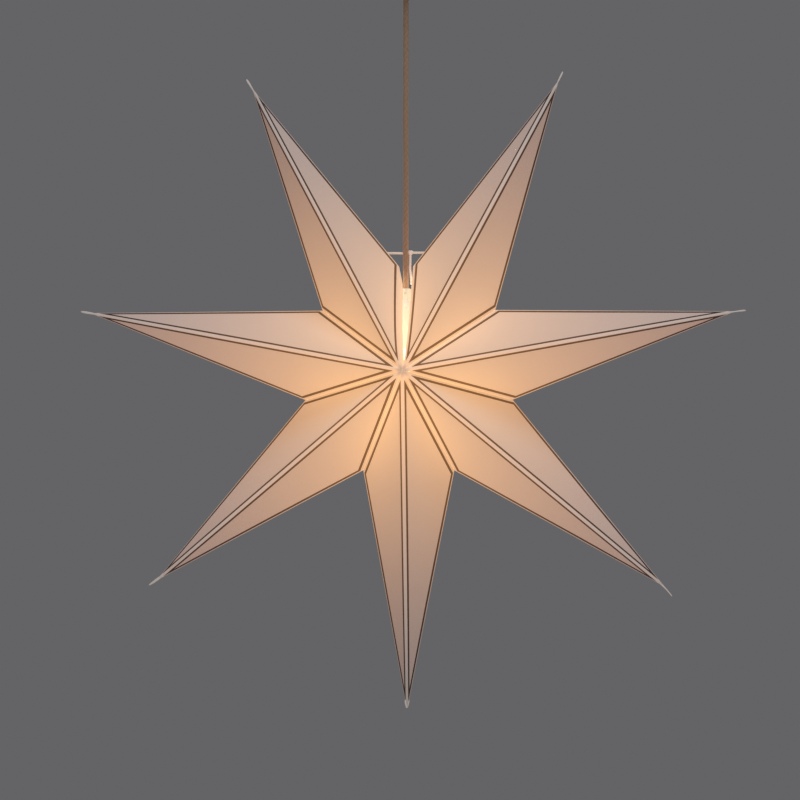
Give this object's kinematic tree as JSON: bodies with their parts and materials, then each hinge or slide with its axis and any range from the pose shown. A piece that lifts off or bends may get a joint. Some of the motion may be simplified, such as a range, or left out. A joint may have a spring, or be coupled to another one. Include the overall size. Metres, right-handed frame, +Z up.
{
  "type": "paper star lantern",
  "caption": "Hanging folded paper star lantern with pointed hollow arms, lit from inside by a small bulb, on a textile cord from a ceiling cup; folds flat like a fan",
  "frame": {"origin": "centre of the ceiling cup's rim, on the ceiling and on the cord's axis", "axes": "+Z up into the ceiling, +X to the star's right as seen from its front, +Y to its back"},
  "size_m": [0.6876, 0.19, 0.82],
  "materials": {
    "star_paper": "thin fibrous white paper with dark printed border lines, lit from inside",
    "tie_string": "soft twisted cotton",
    "textile_cord": "braided copper brown textile sleeve",
    "cup_paint": "white powder coat",
    "zinc_steel": "zinc plated steel",
    "white_plastic": "moulded white thermoplastic",
    "clear_plastic": "natural nylon",
    "brass_parts": "plain brass",
    "nickel_cap": "nickel plated brass",
    "black_insulator": "black glass insulator",
    "bulb_glass": "clear blown glass",
    "filament": "glowing phosphor sticks",
    "core_brown": "brown core insulation",
    "core_blue": "blue core insulation"
  },
  "bodies": {
    "ceiling": {"ceiling_cup": "cup_paint", "ceiling_bracket": "zinc_steel", "cup_screws": "zinc_steel", "cord_gland": "white_plastic", "gland_nut": "white_plastic", "gland_grub_screw": "clear_plastic", "terminal_block": "clear_plastic", "terminal_barrels": "brass_parts", "terminal_screws": "zinc_steel", "cord_tail": "textile_cord", "ceiling_core_brown": "core_brown", "ceiling_core_blue": "core_blue"},
    "pendant": {"textile_cord": "textile_cord", "lampholder_cap": "white_plastic", "cord_grip_screw": "clear_plastic", "lampholder_skirt": "white_plastic", "lampholder_insert": "white_plastic", "holder_terminal_screws": "zinc_steel", "screw_shell": "brass_parts", "centre_contact": "brass_parts", "holder_core_brown": "core_brown", "holder_core_blue": "core_blue"},
    "bulb_lift": {"bulb_base_contact": "nickel_cap", "bulb_cap_insulator": "black_insulator"},
    "bulb": {"bulb_screw_cap": "nickel_cap", "bulb_glass": "bulb_glass", "bulb_stem": "bulb_glass", "bulb_filaments": "filament", "bulb_support_wires": "zinc_steel"},
    "star": {"arm_bottom": "star_paper"},
    "lower_right": {"arm_lower_right": "star_paper"},
    "right": {"arm_right": "star_paper"},
    "upper_right": {"arm_upper_right": "star_paper", "tie_string_right": "tie_string", "tie_free_end": "tie_string"},
    "lower_left": {"arm_lower_left": "star_paper"},
    "left": {"arm_left": "star_paper"},
    "upper_left": {"arm_upper_left": "star_paper", "tie_string_left": "tie_string"}
  },
  "joints": [
    {"name": "cord_sway", "type": "hinge", "parent": "ceiling", "child": "pendant", "pos_m": [0, 0, -0.0611], "axis": [0, 1, 0], "range_deg": [-20, 20]},
    {"name": "star_turn", "type": "hinge", "parent": "pendant", "child": "star", "pos_m": [0, 0, -0.345], "axis": [0, 0, 1], "continuous": true},
    {"name": "fan_fold", "type": "hinge", "parent": "star", "child": "lower_right", "pos_m": [0.003, 0, -0.47], "axis": [0, 1, 0], "range_deg": [0, 49.4], "deforming": ["arm_bottom", "arm_lower_right", "arm_lower_left", "arm_right", "arm_left", "arm_upper_right", "arm_upper_left", "tie_string_right", "tie_string_left", "tie_free_end"]},
    {"name": "fold_right", "type": "hinge", "parent": "lower_right", "child": "right", "pos_m": [0.003, 0, -0.47], "axis": [0, 1, 0], "range_deg": [0, 49.4]},
    {"name": "fold_upper_right", "type": "hinge", "parent": "right", "child": "upper_right", "pos_m": [0.003, 0, -0.47], "axis": [0, 1, 0], "range_deg": [0, 49.4]},
    {"name": "fold_lower_left", "type": "hinge", "parent": "star", "child": "lower_left", "pos_m": [0.003, 0, -0.47], "axis": [0, -1, 0], "range_deg": [0, 49.4]},
    {"name": "fold_left", "type": "hinge", "parent": "lower_left", "child": "left", "pos_m": [0.003, 0, -0.47], "axis": [0, -1, 0], "range_deg": [0, 49.4]},
    {"name": "fold_upper_left", "type": "hinge", "parent": "left", "child": "upper_left", "pos_m": [0.003, 0, -0.47], "axis": [0, -1, 0], "range_deg": [0, 49.4]},
    {"name": "bulb_travel", "type": "slide", "parent": "pendant", "child": "bulb_lift", "axis": [0, 0, -1], "range_m": [0, 0.01693]},
    {"name": "bulb_turn", "type": "hinge", "parent": "bulb_lift", "child": "bulb", "pos_m": [0, 0, -0.47], "axis": [0, 0, -1], "range_deg": [0, 2160.5]}
  ],
  "couplings": [
    {"joint": "fold_right", "follows": "fan_fold", "ratio": 1},
    {"joint": "fold_upper_right", "follows": "fan_fold", "ratio": 1},
    {"joint": "fold_lower_left", "follows": "fan_fold", "ratio": 1},
    {"joint": "fold_left", "follows": "fan_fold", "ratio": 1},
    {"joint": "fold_upper_left", "follows": "fan_fold", "ratio": 1},
    {"joint": "bulb_turn", "follows": "bulb_travel", "rad_per_m": 2226.5}
  ]
}
